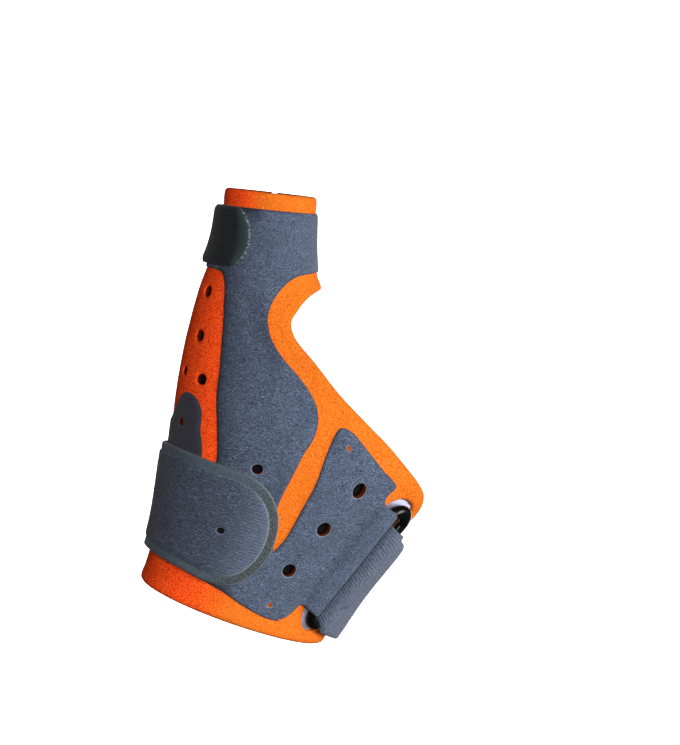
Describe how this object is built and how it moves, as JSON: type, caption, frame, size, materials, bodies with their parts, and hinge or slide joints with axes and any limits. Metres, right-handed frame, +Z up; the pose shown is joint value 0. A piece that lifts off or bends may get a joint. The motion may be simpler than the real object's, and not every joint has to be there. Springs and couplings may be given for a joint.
{
  "type": "thumb spica splint",
  "caption": "Laminated thumb and wrist splint: a felted cuff with a thumb tube, velour panels, a ring and a wrist strap, and a small strap round the thumb",
  "frame": {"origin": "on the plane of the flat wrist rim that the splint stands on, in the middle of the footprint of the whole part", "axes": "+Z is up, from the wrist rim to the thumb tube; +X points to the little-finger side; -Y is the side the picture shows"},
  "size_m": [0.0938, 0.0596, 0.1247],
  "materials": {
    "liner": "felt-like microfibre, raised along the borders",
    "shell_velour": "short velour, pressed flat along its cut edge",
    "palm_velour": "short velour, pressed flat along its cut edge",
    "thumb_strap_velour": "dark velour with a welded edge",
    "strap_velour": "rippled velour with a welded edge",
    "ring_plastic": "glossy black",
    "pad_cloth": "smooth pale lavender grey cloth"
  },
  "bodies": {
    "root": {"liner": "liner", "outer_shell": "shell_velour", "palm_panel": "palm_velour", "thumb_strap": "thumb_strap_velour", "wrist_strap": "strap_velour", "strap_ring": "ring_plastic", "ring_pad": "pad_cloth"}
  },
  "joints": []
}
